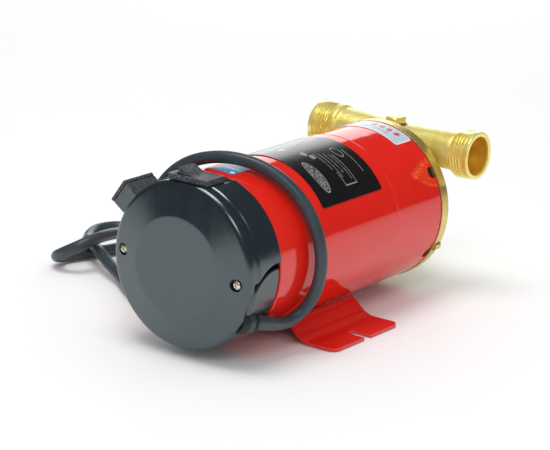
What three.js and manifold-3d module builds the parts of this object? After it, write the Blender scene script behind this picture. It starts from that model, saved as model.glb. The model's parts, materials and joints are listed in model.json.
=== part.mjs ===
// Inline household circulator pump with its power cord, standing on its foot bracket.
// Millimetres, +Z up. Everything is drawn about the motor axis, which runs along Y: the switch
// cover closes the motor at -Y, the brass pump head sits at +Y, and both ports lie along X.
import * as THREE from 'three';
import { mergeVertices } from 'three/addons/utils/BufferGeometryUtils.js';
import Module from 'manifold-3d';

const wasm = await Module();
wasm.setup();

// ---------------------------------------------------------------- driving dimensions

const GAP = 0.3;

const AXIS_HEIGHT = 46.6;
const GROUND = -AXIS_HEIGHT;
const REAR_FACE = -6;

const BARREL = { radius: 42.5, wall: 1.2, rear: 22.6, front: 166.2 };
const COVER = { radius: 43.2, shoulder: 42.6, fillet: 4.4, wall: 2.5, front: 22.3 };
const COVER_SCREW = { distance: 35, angles: [176.7, -3.3], seat: -2.4, head: 2.2, shank: 1.4 };
const SWITCH = { width: 24.6, depth: 14.8, y: 8.6, top: 44.3, seat: 41 };
const ROCKER = { length: 16.8, width: 11, valley: 4.3, slope: 14, pivotZ: 40, tilt: 14 };
const SIDE_BOX = { angle: 145, width: 13.4, rear: 0.4, front: 22.3, top: 50.2, lid: 1.8 };
const POCKET = { angle: -21, radius: 18.5, y: 17.4, floor: 41.6 };
const GLAND = { angle: -35, distance: 40.4, y: 7.4, radius: 5, length: 8, tilt: 20 };

const FOOT = { rear: 55, front: 112.5, sheet: 1.6, halfSpan: 54, slotWidth: 5.8, slotEnd: 42.2 };
const BRACKET_INNER = BARREL.radius + GAP;

const SHAFT = { radius: 4, core: 5, rear: 25.8, front: 175.4 };
const BEARING = { radius: 11, width: 7, rear: 26, front: 152.6 };
const STATOR = { bore: 22.5, outer: 41, rear: 62, front: 112 };
const WINDING = { inner: 24.5, outer: 37.5, length: 14 };

const FLANGE = { radius: 42.9, rear: 166.6, front: 172.6 };
const CHAMBER = { radius: 29, front: 176.4 };
const VOLUTE = { radius: 33.5, front: 189 };
const PORT = { y: 185.8, z: 29.4, end: 51.5, major: 13.22, minor: 12.06, bore: 10.4, start: 40.5 };
const THREAD_PITCH = 1.814;
const VENT = { y: 183, top: 38.6, shank: 3, washer: 0.8, head: 3.2, acrossCorners: 12.4 };
const HEAD_SCREW = { radius: 37.5, head: 3.2, shank: 1.6 };
const HEAD_SCREW_ANGLES = [8, 172, 240, 300];
const NOTCH_ANGLES = [31, 149, -149, -32];

const CORD = { diameter: 6.4, sides: 8, step: 12.5 };
const CORD_LEVEL = GROUND + CORD.diameter / 2 + 0.1;
const COIL = { x: -88, y: 182, radius: 35.2, height: 12.8, corner: 1.2, tieAngle: 135 };
const PLUG = { x: -56, y: 226, length: 30, width: 26, height: 20, pin: 18 };

// ---------------------------------------------------------------- shape helpers

const radians = THREE.MathUtils.degToRad;

function polar(radius, angle) {
  return [radius * Math.cos(radians(angle)), radius * Math.sin(radians(angle))];
}

function arc(cx, cy, radius, from, to, steps) {
  const points = [];
  for (let i = 0; i <= steps; i += 1) {
    const [x, y] = polar(radius, from + ((to - from) * i) / steps);
    points.push([cx + x, cy + y]);
  }
  return points;
}

function rectangle(x0, y0, x1, y1) {
  return [[x0, y0], [x1, y0], [x1, y1], [x0, y1]];
}

function signedVolume(position, index) {
  const corner = [0, 1, 2].map(() => new THREE.Vector3());
  let volume = 0;
  for (let i = 0; i < index.length; i += 3) {
    corner.forEach((point, k) => point.fromBufferAttribute(position, index[i + k]));
    volume += corner[0].dot(corner[1].cross(corner[2])) / 6;
  }
  return volume;
}

// A closed solid from a three.js geometry: welded, without slivers, and facing outwards.
function solid(geometry) {
  const bare = geometry.clone();
  bare.deleteAttribute('normal');
  bare.deleteAttribute('uv');
  const welded = mergeVertices(bare, 1e-4);
  const kept = [];
  for (let i = 0; i < welded.index.count; i += 3) {
    const [a, b, c] = [0, 1, 2].map((k) => welded.index.getX(i + k));
    if (a !== b && b !== c && c !== a) kept.push(a, b, c);
  }
  const outward = signedVolume(welded.attributes.position, kept) > 0;
  const triVerts = new Uint32Array(outward ? kept : kept.reverse());
  const vertProperties = new Float32Array(welded.attributes.position.array);
  return new wasm.Manifold(new wasm.Mesh({ numProp: 3, vertProperties, triVerts }));
}

// Revolves [radius, height] points around +Y, or another axis given by name.
function turned(profile, segments = 32, axis = 'y') {
  const points = profile.map(([r, h]) => new THREE.Vector2(Math.max(r, 0), h));
  const geometry = new THREE.LatheGeometry(points, segments);
  if (axis === 'x') geometry.rotateZ(-Math.PI / 2);
  if (axis === 'z') geometry.rotateX(Math.PI / 2);
  return solid(geometry);
}

function ring(inner, outer, from, to, segments = 32, axis = 'y') {
  const profile = [[inner, from], [outer, from], [outer, to], [inner, to], [inner, from]];
  return turned(profile, segments, axis);
}

function rod(radius, from, to, segments = 24, axis = 'y') {
  return turned([[0, from], [radius, from], [radius, to], [0, to]], segments, axis);
}

// Extrudes an outline between two levels of an axis. The outline's own coordinates are the two
// other axes in the order x, y, z.
function prism(outline, from, to, axis = 'y') {
  const shape = new THREE.Shape(outline.map(([a, b]) => new THREE.Vector2(a, b)));
  const geometry = new THREE.ExtrudeGeometry(shape, { depth: to - from, bevelEnabled: false });
  geometry.translate(0, 0, from);
  const basis = {
    x: new THREE.Matrix4().set(0, 0, 1, 0, 1, 0, 0, 0, 0, 1, 0, 0, 0, 0, 0, 1),
    y: new THREE.Matrix4().set(1, 0, 0, 0, 0, 0, 1, 0, 0, 1, 0, 0, 0, 0, 0, 1),
    z: new THREE.Matrix4(),
  };
  geometry.applyMatrix4(basis[axis]);
  return solid(geometry);
}

function asGeometry(manifold) {
  const mesh = manifold.getMesh();
  const geometry = new THREE.BufferGeometry();
  geometry.setAttribute('position', new THREE.BufferAttribute(mesh.vertProperties, 3));
  geometry.setIndex(new THREE.BufferAttribute(mesh.triVerts, 1));
  return geometry;
}

function moved(manifold, matrix) {
  return solid(asGeometry(manifold).applyMatrix4(matrix));
}

function shifted(manifold, x, y, z) {
  return moved(manifold, new THREE.Matrix4().makeTranslation(x, y, z));
}

// Turns a solid drawn on the +X side about the motor axis, to the given angle above +X.
function aroundMotor(manifold, angle) {
  return moved(manifold, new THREE.Matrix4().makeRotationY(-radians(angle)));
}

function joined(solids) {
  return solids.reduce((whole, piece) => whole.add(piece));
}

function cut(whole, solids) {
  return solids.reduce((rest, piece) => rest.subtract(piece), whole);
}

// ---------------------------------------------------------------- switch cover and its fittings

// The face is a shallow disc, a slope round it and a rounded shoulder.
function coverOutline(inset, steps) {
  const fillet = COVER.fillet - inset;
  const centre = [COVER.shoulder - COVER.fillet, REAR_FACE + 6.6];
  return [
    [0, REAR_FACE + inset],
    [25.5, REAR_FACE + 0.4 + inset],
    [27, REAR_FACE + 0.8 + inset],
    ...arc(centre[0], centre[1], fillet, -98, 0, steps),
  ];
}

function coverShell() {
  const bead = [[COVER.shoulder, 4.4], [COVER.radius, 5.2], [COVER.radius, COVER.front]];
  const outer = turned([...coverOutline(0, 5), ...bead, [0, COVER.front]], 48);
  const inner = turned([...coverOutline(COVER.wall, 2), [40.1, 30], [0, 30]], 28);
  const glandBoss = moved(rod(GLAND.radius + 2.6, -6, 30, 20), glandPlacement()).intersect(outer);
  return outer.subtract(inner).add(glandBoss);
}

function glandPlacement() {
  return new THREE.Matrix4()
    .makeRotationY(-radians(GLAND.angle))
    .multiply(new THREE.Matrix4().makeTranslation(GLAND.distance, GLAND.y, 0))
    .multiply(new THREE.Matrix4().makeRotationZ(-radians(GLAND.tilt)));
}

function sideBoxAt(halfWidth, low, high, rear, front) {
  return aroundMotor(prism(rectangle(low, rear, high, front), -halfWidth, halfWidth, 'z'), SIDE_BOX.angle);
}

// One solid at each cover screw, drawn along Y.
function atCoverScrews(rodAlongY) {
  return COVER_SCREW.angles.map((angle) =>
    aroundMotor(shifted(rodAlongY, COVER_SCREW.distance, 0, 0), angle));
}

// The step beside the gland is cut only skin-deep, so its floor stays round like the cover.
function glandPocket() {
  const cutter = shifted(rod(POCKET.radius, 30, 60, 32, 'x'), 0, POCKET.y, 0);
  return aroundMotor(cutter, POCKET.angle).subtract(rod(POCKET.floor, -20, 60, 48));
}

function rearCover() {
  const half = SIDE_BOX.width / 2;
  const bosses = atCoverScrews(rod(4.4, REAR_FACE + 3.5, COVER.front, 12));
  const body = joined([
    coverShell(),
    ...bosses,
    sideBoxAt(half, 37, SIDE_BOX.top, SIDE_BOX.rear, SIDE_BOX.front),
  ]);
  const land = prism(rectangle(-13.8, -10, 13.8, 20), SWITCH.seat, 60, 'z');
  const window = prism(rectangle(-11.1, SWITCH.y - 6.7, 11.1, SWITCH.y + 6.7), 30, 60, 'z');
  return cut(body, [
    glandPocket(),
    ...atCoverScrews(rod(COVER_SCREW.shank + GAP, -10, 30, 10)),
    ...atCoverScrews(rod(COVER_SCREW.head + 0.8, -10, COVER_SCREW.seat, 16)),
    land,
    window,
    sideBoxAt(half - 1.8, 36, 60, SIDE_BOX.rear + 1.8, SIDE_BOX.front - 1.8),
    moved(rod(GLAND.radius + 0.4, -1, 30, 20), glandPlacement()),
    moved(rod(3.1, -4, 2, 12), glandPlacement()),
  ]);
}

function coverScrews() {
  const seat = COVER_SCREW.seat - GAP;
  const profile = [
    [0, seat - 1.4], [1.5, seat - 1.3], [COVER_SCREW.head, seat - 0.6], [COVER_SCREW.head, seat],
    [COVER_SCREW.shank, seat], [COVER_SCREW.shank, 26], [0, 27],
  ];
  const slot = prism(rectangle(-4, -0.35, 4, 0.35), -9, seat - 0.7, 'y');
  return atCoverScrews(turned(profile, 12).subtract(slot));
}

function switchFrame() {
  const half = SWITCH.width / 2;
  const rear = SWITCH.y - SWITCH.depth / 2;
  const front = SWITCH.y + SWITCH.depth / 2;
  const bezel = prism(rectangle(-half, rear, half, front), SWITCH.seat + GAP, SWITCH.top, 'z');
  const tub = prism(rectangle(-10.8, SWITCH.y - 6.4, 10.8, SWITCH.y + 6.4), 29, SWITCH.seat + 1, 'z');
  const well = prism(rectangle(-10.2, SWITCH.y - 5.8, 10.2, SWITCH.y + 5.8), 30, 50, 'z');
  return bezel.add(tub).subtract(well);
}

// The rocker's cap is a shallow V across X, drawn level and then tipped with its -X end up.
function switchRocker() {
  const half = ROCKER.length / 2;
  const crest = ROCKER.valley + half * Math.tan(radians(ROCKER.slope));
  const outline = [
    [-half, crest - 0.5], [-half + 0.5, crest], [0, ROCKER.valley], [half - 0.5, crest],
    [half, crest - 0.5], [half - 1, -1], [4, -4.5], [-4, -4.5], [-half + 1, -1],
  ];
  const near = SWITCH.y - ROCKER.width / 2;
  const level = prism(outline, near, near + ROCKER.width, 'y');
  const tipped = moved(level, new THREE.Matrix4().makeRotationY(radians(ROCKER.tilt)));
  return shifted(tipped, 0, 0, ROCKER.pivotZ);
}

function sideBoxLid() {
  const low = SIDE_BOX.top + GAP;
  return sideBoxAt(SIDE_BOX.width / 2, low, low + SIDE_BOX.lid, SIDE_BOX.rear, SIDE_BOX.front);
}

// The gland grips the cord where it leaves the pocket, and leans outwards to clear the barrel.
function cordGland() {
  const bore = CORD.diameter / 2 + GAP;
  const profile = [
    [2.8, -3.4], [2.8, 0], [GLAND.radius, 0.2], [GLAND.radius, 5.2], [4.4, GLAND.length],
    [bore, GLAND.length], [bore, 1], [1.6, 1], [1.6, -3.4], [2.8, -3.4],
  ];
  return moved(turned(profile, 18), glandPlacement());
}

function terminalBlock() {
  const block = prism(rectangle(-13, 12.5, 13, 24), 8.5, 20, 'y');
  const wells = [-8, 0, 8].map((x) => shifted(rod(2.2, 4, 14, 8), x, 0, 18.2));
  return cut(block, wells);
}

function runCapacitor() {
  const can = rod(9, -19, 19, 20, 'x');
  const tags = [-4, 4].map((y) => prism(rectangle(y - 0.4, -2.5, y + 0.4, 2.5), 18, 24, 'x'));
  return shifted(joined([can, ...tags]), 0, 10.4, -14.5);
}

// ---------------------------------------------------------------- motor

function motorBarrel() {
  const tube = ring(BARREL.radius - BARREL.wall, BARREL.radius, BARREL.rear, BARREL.front, 48);
  const notches = NOTCH_ANGLES.map((angle) =>
    aroundMotor(shifted(rod(2.9, 38, 46, 12, 'x'), 0, BARREL.front - 1.8, 0), angle));
  return cut(tube, notches);
}

// A thin plate bent round the barrel, between two angles above +X.
function wrappedPlate(fromAngle, toAngle, rear, front, thickness) {
  const inner = BARREL.radius + GAP;
  const steps = Math.ceil((toAngle - fromAngle) / 6);
  const outline = [
    ...arc(0, 0, inner, fromAngle, toAngle, steps),
    ...arc(0, 0, inner + thickness, toAngle, fromAngle, steps),
  ];
  return prism(outline, rear, front, 'y');
}

// The bracket's centre line from the saddle's middle to the foot's outer edge, on the +X side.
function bracketLine() {
  const saddle = arc(0, 0, BRACKET_INNER + FOOT.sheet / 2, -90, -58, 5);
  const flangeLevel = GROUND + FOOT.sheet / 2;
  const leg = [
    [25.6, flangeLevel + 7.3], [30.6, flangeLevel + 2.9], [33.4, flangeLevel + 0.9],
    [36.4, flangeLevel], [FOOT.halfSpan, flangeLevel],
  ];
  return [...saddle, ...leg];
}

function offsetLine(line, distance) {
  return line.map((point, i) => {
    const before = line[Math.max(i - 1, 0)];
    const after = line[Math.min(i + 1, line.length - 1)];
    const length = Math.hypot(after[0] - before[0], after[1] - before[1]);
    const normal = [-(after[1] - before[1]) / length, (after[0] - before[0]) / length];
    return [point[0] + normal[0] * distance, point[1] + normal[1] * distance];
  });
}

function footBracket() {
  const half = FOOT.sheet / 2;
  const right = bracketLine();
  const left = right.slice(1).reverse().map(([x, z]) => [-x, z]);
  const line = [...left, ...right];
  const outline = [...offsetLine(line, half), ...offsetLine(line, -half).reverse()];
  const sheet = prism(outline, FOOT.rear, FOOT.front, 'y');
  const [x, r] = [FOOT.halfSpan, 4];
  const plan = [
    ...arc(x - r, FOOT.rear + r, r, -90, 0, 4),
    ...arc(x - r, FOOT.front - r, r, 0, 90, 4),
    ...arc(r - x, FOOT.front - r, r, 90, 180, 4),
    ...arc(r - x, FOOT.rear + r, r, 180, 270, 4),
  ];
  const middle = (FOOT.rear + FOOT.front) / 2;
  const slots = [-1, 1].map((side) => {
    const centre = FOOT.slotEnd + FOOT.slotWidth / 2;
    const round = shifted(rod(FOOT.slotWidth / 2, -60, -40, 16, 'z'), side * centre, middle, 0);
    const [near, far] = side > 0 ? [centre, 60] : [-60, -centre];
    const mouth = rectangle(near, middle - FOOT.slotWidth / 2, far, middle + FOOT.slotWidth / 2);
    return round.add(prism(mouth, -60, -40, 'z'));
  });
  return cut(sheet.intersect(prism(plan, -60, 0, 'z')), slots);
}

function rearEndShield() {
  const [inner, pocket] = [BEARING.radius + GAP, BEARING.rear - GAP];
  const profile = [
    [0, 23.2], [41, 23.2], [41, 34], [37.5, 34], [37.5, 27.5], [15, 27.5], [15, 34],
    [inner, 34], [inner, pocket], [0, pocket],
  ];
  return cut(turned(profile, 28), atCoverScrews(rod(COVER_SCREW.shank + GAP, 20, 32, 10)));
}

function frontEndShield() {
  const face = FLANGE.rear - 1.4;
  const inner = BEARING.radius + GAP;
  const profile = [
    [inner, 152.3], [15, 152.3], [15, 157], [36, 157], [36, 150], [41, 150], [41, face],
    [10, face], [10, 160.4], [inner, 160.4], [inner, 152.3],
  ];
  const holes = HEAD_SCREW_ANGLES.map((angle) =>
    aroundMotor(shifted(rod(HEAD_SCREW.shank + GAP, 154, 170, 10), HEAD_SCREW.radius, 0, 0), angle));
  return cut(turned(profile, 28), holes);
}

function bearing(rear) {
  const [inner, outer] = [SHAFT.radius + GAP, BEARING.radius];
  const front = rear + BEARING.width;
  const profile = [
    [inner, rear], [6.4, rear], [7, rear + 0.6], [8.2, rear + 0.6], [8.8, rear], [outer, rear],
    [outer, front], [inner, front], [inner, rear],
  ];
  return turned(profile, 20);
}

function statorCore() {
  return ring(STATOR.bore, STATOR.outer, STATOR.rear, STATOR.front, 32);
}

function windingRing(rear) {
  const [inner, outer] = [WINDING.inner, WINDING.outer];
  const front = rear + WINDING.length;
  const [bulge, middle] = [3, (rear + front) / 2];
  const profile = [
    [inner, middle], [inner + bulge, rear], [outer - bulge, rear], [outer, middle],
    [outer - bulge, front], [inner + bulge, front], [inner, middle],
  ];
  return turned(profile, 24);
}

// ---------------------------------------------------------------- rotor

function rotorCore() {
  return ring(SHAFT.core + GAP, STATOR.bore - 0.7, STATOR.rear - 2, STATOR.front + 2, 28);
}

function rotorShaft() {
  const { radius, core, rear, front } = SHAFT;
  const profile = [
    [0, rear], [radius - 0.5, rear], [radius, rear + 0.5], [radius, 34], [core, 34], [core, 151.5],
    [radius, 151.5], [radius, front - 0.5], [radius - 0.5, front], [0, front],
  ];
  return turned(profile, 16);
}

// A peripheral impeller: a disc with short open vanes milled all round its rim.
function impeller() {
  const [vanes, outer, root] = [20, 28.2, 24.2];
  const rim = [];
  for (let i = 0; i < vanes; i += 1) {
    const pitch = 360 / vanes;
    const start = i * pitch;
    rim.push(polar(root, start), polar(outer, start + 1), polar(outer, start + 6), polar(root, start + 7));
  }
  const disc = prism(rim, 167.6, 175.4, 'y');
  const hub = [ring(10, 22, 160, 169.6, 16), ring(10, 22, 173.4, 180, 16)];
  const bore = rod(SHAFT.radius + GAP, 160, 180, 16);
  return cut(disc, [...hub, bore]);
}

function sealRotating() {
  const inner = SHAFT.radius + GAP;
  const profile = [
    [inner, 163.6], [7.4, 163.6], [7.4, 164.6], [8.6, 164.6], [8.6, 167.2], [inner, 167.2],
    [inner, 163.6],
  ];
  return turned(profile, 16);
}

// ---------------------------------------------------------------- pump head

// One port's outside from the middle of the head outwards, as [radius, distance] points.
function portProfile(neck, throat, collar) {
  const { end, major, minor, start } = PORT;
  const points = [[0, 0], [throat, 0]];
  if (collar) points.push([neck, start - 6.5], [13.3, start - 6], [13.3, start - 1.2], [11.6, start - 0.8]);
  else points.push([neck, start - 1]);
  points.push([minor, start]);
  const turns = Math.floor((end - 1.2 - start) / THREAD_PITCH);
  for (let i = 0; i < turns; i += 1) {
    const foot = start + i * THREAD_PITCH;
    points.push([major, foot + THREAD_PITCH / 2], [minor, foot + THREAD_PITCH]);
  }
  points.push([minor, end], [0, end]);
  return points;
}

// The outlet's thread is interrupted by a flat along its top and bottom.
function port(side, neck, throat, collar) {
  const tube = turned(portProfile(neck, throat, collar), 24, 'x');
  const placed = side > 0 ? tube : moved(tube, new THREE.Matrix4().makeRotationZ(Math.PI));
  const flats = [[PORT.minor - 0.1, 20], [-20, 0.1 - PORT.minor]].map(([low, high]) =>
    prism(rectangle(PORT.start, -20, 60, 20), low, high, 'z'));
  return shifted(cut(placed, flats), 0, PORT.y, PORT.z);
}

function portBore(side) {
  const mouth = rod(PORT.bore, PORT.start + 3, 60, 20, 'x');
  const wide = PORT.start + 3.1;
  const profile = [[0, 8], [6.6, 8], [7.4, PORT.start - 1], [PORT.bore, wide], [0, wide]];
  const throat = turned(profile, 20, 'x');
  const bore = joined([throat, mouth]);
  const placed = side > 0 ? bore : moved(bore, new THREE.Matrix4().makeRotationZ(Math.PI));
  return shifted(placed, 0, PORT.y, PORT.z);
}

function pumpHead() {
  const lugs = [-27, 153].map((angle) =>
    aroundMotor(shifted(rod(3, FLANGE.rear, FLANGE.front - 1, 12), 42.4, 0, 0), angle));
  const casting = joined([
    rod(FLANGE.radius, FLANGE.rear, FLANGE.front, 48),
    rod(VOLUTE.radius, FLANGE.front - 1, VOLUTE.front - 4, 32),
    rod(VOLUTE.radius - 6, VOLUTE.front - 5, VOLUTE.front, 24),
    port(1, 10, 9.4, false),
    port(-1, 12, 9.6, true),
    shifted(rod(6.4, PORT.z, VENT.top, 16, 'z'), 0, VENT.y, 0),
    ...lugs,
  ]);
  const ways = [-14, 14].map((x) => shifted(rod(4.2, 170, PORT.y, 10), x, 0, 23));
  const holes = HEAD_SCREW_ANGLES.map((angle) =>
    aroundMotor(shifted(rod(HEAD_SCREW.shank + GAP, 160, 180, 10), HEAD_SCREW.radius, 0, 0), angle));
  return cut(casting, [
    rod(CHAMBER.radius, 160, CHAMBER.front, 28),
    portBore(1),
    portBore(-1),
    ...ways,
    ...holes,
    shifted(rod(VENT.shank + GAP, 24, 60, 12, 'z'), 0, VENT.y, 0),
    shifted(rod(7.2, VENT.top, 60, 16, 'z'), 0, VENT.y, 0),
  ]);
}

function ventWasher() {
  const low = VENT.top + GAP;
  const washer = ring(VENT.shank + GAP, 5.8, low, low + VENT.washer, 16, 'z');
  return shifted(washer, 0, VENT.y, 0);
}

function ventPlug() {
  const low = VENT.top + VENT.washer + 2 * GAP;
  const top = low + VENT.head;
  const radius = VENT.acrossCorners / 2;
  const hex = prism(arc(0, 0, radius, 0, 300, 5), low, top, 'z');
  const crown = turned([[0, low - 1], [radius + 1, low - 1], [radius + 1, top - 1.6],
    [radius - 1.6, top], [0, top]], 18, 'z');
  const shank = rod(VENT.shank, low - 10, low + 1, 12, 'z');
  return shifted(hex.intersect(crown).add(shank), 0, VENT.y, 0);
}

function headScrew(angle) {
  const seat = FLANGE.front + GAP;
  const { head, shank } = HEAD_SCREW;
  const profile = [
    [0, 156], [shank, 156.6], [shank, seat], [head, seat], [head, seat + 2], [head - 0.8, seat + 2.8],
    [0, seat + 2.8],
  ];
  const recess = prism(arc(0, 0, 1.7, 0, 300, 5), seat + 1.2, seat + 4, 'y');
  const screw = turned(profile, 12).subtract(recess);
  return aroundMotor(shifted(screw, HEAD_SCREW.radius, 0, 0), angle);
}

// ---------------------------------------------------------------- power cord

// Out of the gland and round the barrel: [angle above +X, distance along the motor, radius]. Then
// free points down the barrel's far side and along the ground to the coil.
const WRAP = [
  [-32, 43, 48], [-24, 46.3, 48], [-12, 47.8, 48.2], [4, 48, 48.2], [20, 47.3, 48], [36, 46, 47.8],
  [52, 44, 47.6], [68, 41, 47.4], [84, 37.5, 47.3], [100, 34.5, 47.3], [116, 32, 47.5],
  [132, 31, 47.6], [148, 31, 47.6], [164, 32, 47.8], [179, 34, 48.2],
];
const GLAND_LEAD = [
  [-35, 11.2, 41.8], [-35.2, 16.5, 43.8], [-36, 22.5, 45.9], [-37, 29.5, 47.4], [-36.5, 37, 48],
];
const GROUND_RUN = [
  [-50.5, 37, -13], [-54.5, 40.5, -26], [-61, 44.5, -36], [-70, 50, -41.4],
  [-82, 58.5, CORD_LEVEL], [-96, 68.5, -42.2], [-108.5, 74.5, -39.6], [-120, 80.5, -37.2],
  [-131, 87.5, -36.4], [-141, 95, -36.7], [-149.5, 103.5, -39.8], [-157, 112.5, -42.8],
  [-163.5, 122.5, CORD_LEVEL], [-166.5, 133, CORD_LEVEL], [-162.8, 143, CORD_LEVEL],
  [-153, 148, CORD_LEVEL], [-142.5, 145, CORD_LEVEL], [-135, 135.5, CORD_LEVEL],
  [-132.5, 123, CORD_LEVEL], [-134.2, 110, CORD_LEVEL], [-138, 98, CORD_LEVEL],
  [-142.3, 87, CORD_LEVEL], [-145, 77.5, -42.9], [-142.4, 69.4, -40.4], [-134.4, 65.8, -36],
  [-126.6, 69.8, -31.4], [-123.3, 79.5, -28.8], [-123.8, 91, -29.1], [-127, 105, -31.6],
  [-131, 118, -35], [-134, 131, -36.5], [-135.3, 145, -36.6], [-132.5, 160, -38.5],
];

function cordRoute() {
  const around = ([angle, y, radius]) => {
    const [x, z] = polar(radius, angle);
    return new THREE.Vector3(x, y, z);
  };
  return [
    ...GLAND_LEAD.map(around),
    ...WRAP.map(around),
    ...GROUND_RUN.map((point) => new THREE.Vector3(...point)),
  ];
}

function tubeAlong(points) {
  const path = new THREE.CatmullRomCurve3(points, false, 'centripetal');
  const steps = Math.round(path.getLength() / CORD.step);
  const section = arc(0, 0, CORD.diameter / 2, 0, 315, CORD.sides - 1);
  const shape = new THREE.Shape(section.map(([a, b]) => new THREE.Vector2(a, b)));
  return solid(new THREE.ExtrudeGeometry(shape, { steps, extrudePath: path, bevelEnabled: false }));
}

function cordCoil() {
  const [low, high] = [GROUND + 0.1, GROUND + 0.1 + COIL.height];
  const [inner, outer] = [COIL.radius - CORD.diameter, COIL.radius + CORD.diameter];
  const profile = [
    [inner + COIL.corner, low], [outer - COIL.corner, low],
    [outer, low + COIL.corner], [outer, high - COIL.corner],
    [outer - COIL.corner, high], [inner + COIL.corner, high],
    [inner, high - COIL.corner], [inner, low + COIL.corner], [inner + COIL.corner, low],
  ];
  return shifted(turned(profile, 28, 'z'), COIL.x, COIL.y, 0);
}

function cordTie() {
  const [inner, outer] = [COIL.radius - CORD.diameter - 0.4, COIL.radius + CORD.diameter + 0.4];
  const [low, high] = [GROUND + 0.1, GROUND + COIL.height + 0.5];
  const band = prism(rectangle(inner - 0.8, low, outer + 0.8, high + 0.8), -2.5, 2.5, 'y');
  const hole = prism(rectangle(inner, low - 1, outer, high), -3, 3, 'y');
  const turn = new THREE.Matrix4().makeRotationZ(radians(COIL.tieAngle));
  return shifted(moved(band.subtract(hole), turn), COIL.x, COIL.y, 0);
}

function plugBody() {
  const { x, length, width, height } = PLUG;
  const [low, half] = [GROUND + 0.1, width / 2];
  const grip = [
    [x, -half + 6], [x + 7, -half + 1], [x + length - 2, -half], [x + length, -half + 2],
    [x + length, half - 2], [x + length - 2, half], [x + 7, half - 1], [x, half - 6],
  ];
  const block = prism(grip, low, low + height, 'z');
  const relief = turned([[0, x - 16], [3.9, x - 16], [5.4, x + 1], [0, x + 1]], 12, 'x');
  const hollow = rod(CORD.diameter / 2 + GAP, x - 17, x - 4, 12, 'x');
  const middle = low + height / 2;
  const body = block.add(shifted(relief, 0, 0, middle)).subtract(shifted(hollow, 0, 0, middle));
  return shifted(cut(body, PLUG_PINS.map(([y, z, turn]) => pinBlade(y, z, turn, GAP, -8))), 0, PLUG.y, 0);
}

// Flat pins: the earth pin above, and a live and a neutral pin leaning either way below it.
const PLUG_PINS = [[0, 5, 0], [-6.8, -3.4, -30], [6.8, -3.4, 30]];

function pinBlade(y, z, turn, grow, rear) {
  const outline = rectangle(-0.8 - grow, -3.1 - grow, 0.8 + grow, 3.1 + grow);
  const face = PLUG.x + PLUG.length;
  const blade = prism(outline, face + rear, face + PLUG.pin, 'x');
  const turned90 = moved(blade, new THREE.Matrix4().makeRotationX(radians(turn)));
  return shifted(turned90, 0, y, GROUND + 0.1 + PLUG.height / 2 + z);
}

function plugPin([y, z, turn]) {
  return shifted(pinBlade(y, z, turn, 0, -7.6), 0, PLUG.y, 0);
}

// ---------------------------------------------------------------- the assembly

const pump = new THREE.Group();
pump.position.set(0, -96.55, AXIS_HEIGHT);

function addNode(name, manifold, color, roughness, metalness) {
  const material = new THREE.MeshStandardMaterial({ color, roughness, metalness });
  const mesh = new THREE.Mesh(asGeometry(manifold), material);
  mesh.name = name;
  pump.add(mesh);
}

const PLASTIC = [0x2f3b44, 0.35, 0];
const BLACK = [0x17191b, 0.6, 0];
const RED = [0xc01a12, 0.25, 0.1];
const BRASS = [0xd8a93a, 0.3, 1];
const STEEL = [0xb9bcc0, 0.35, 1];
const ALUMINIUM = [0x9ea2a6, 0.5, 1];
const RUBBER = [0x46525b, 0.7, 0];
const COPPER = [0xb5622f, 0.45, 0.8];

addNode('rear_cover', rearCover(), ...PLASTIC);
const [coverScrewLeft, coverScrewRight] = coverScrews();
addNode('cover_screw_left', coverScrewLeft, ...STEEL);
addNode('cover_screw_right', coverScrewRight, ...STEEL);
addNode('switch_frame', switchFrame(), ...BLACK);
addNode('switch_rocker', switchRocker(), ...BLACK);
addNode('side_box_lid', sideBoxLid(), ...PLASTIC);
addNode('cord_gland', cordGland(), ...RUBBER);
addNode('terminal_block', terminalBlock(), 0xd9d4c2, 0.6, 0);
addNode('run_capacitor', runCapacitor(), 0xe6e6e2, 0.4, 0);

addNode('motor_barrel', motorBarrel(), ...RED);
addNode('nameplate', wrappedPlate(31.5, 112, 65, 117, 0.4), 0x121212, 0.4, 0);
addNode('front_sticker', wrappedPlate(59, 113, 150.5, 165.5, 0.3), 0xc9d8e4, 0.45, 0);
addNode('switch_sticker', wrappedPlate(79, 103, 26.5, 41, 0.3), 0x2f7fb5, 0.45, 0);
addNode('foot_bracket', footBracket(), ...RED);
addNode('rear_end_shield', rearEndShield(), ...ALUMINIUM);
addNode('front_end_shield', frontEndShield(), ...ALUMINIUM);
addNode('rear_bearing', bearing(BEARING.rear), ...STEEL);
addNode('front_bearing', bearing(BEARING.front), ...STEEL);
addNode('stator_core', statorCore(), 0x6c7076, 0.6, 0.8);
addNode('rear_winding', windingRing(STATOR.rear - GAP - WINDING.length), ...COPPER);
addNode('front_winding', windingRing(STATOR.front + GAP), ...COPPER);

addNode('rotor_core', rotorCore(), 0x7d8187, 0.5, 0.9);
addNode('rotor_shaft', rotorShaft(), ...STEEL);
addNode('impeller', impeller(), ...BRASS);
addNode('seal_rotating', sealRotating(), ...BLACK);
addNode('seal_seat', ring(5.2, 9.7, 160.7, 163.3, 16), 0xe9e6dd, 0.3, 0);
addNode('head_gasket', ring(31, 34.8, FLANGE.rear - 1.1, FLANGE.rear - GAP, 28), ...BLACK);

addNode('pump_head', pumpHead(), ...BRASS);
addNode('vent_washer', ventWasher(), 0x8a3b22, 0.7, 0);
addNode('vent_plug', ventPlug(), ...BRASS);
HEAD_SCREW_ANGLES.forEach((angle, i) => addNode(`head_screw_${i + 1}`, headScrew(angle), ...STEEL));

addNode('power_cord', tubeAlong(cordRoute()), ...RUBBER);
addNode('cord_coil', cordCoil(), ...RUBBER);
addNode('cord_tie', cordTie(), ...BLACK);
addNode('plug_body', plugBody(), ...RUBBER);
PLUG_PINS.forEach((place, i) => addNode(`plug_pin_${i + 1}`, plugPin(place), ...BRASS));

const object = new THREE.Group();
object.name = 'circulator_pump';
object.add(pump);

export default object;
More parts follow.
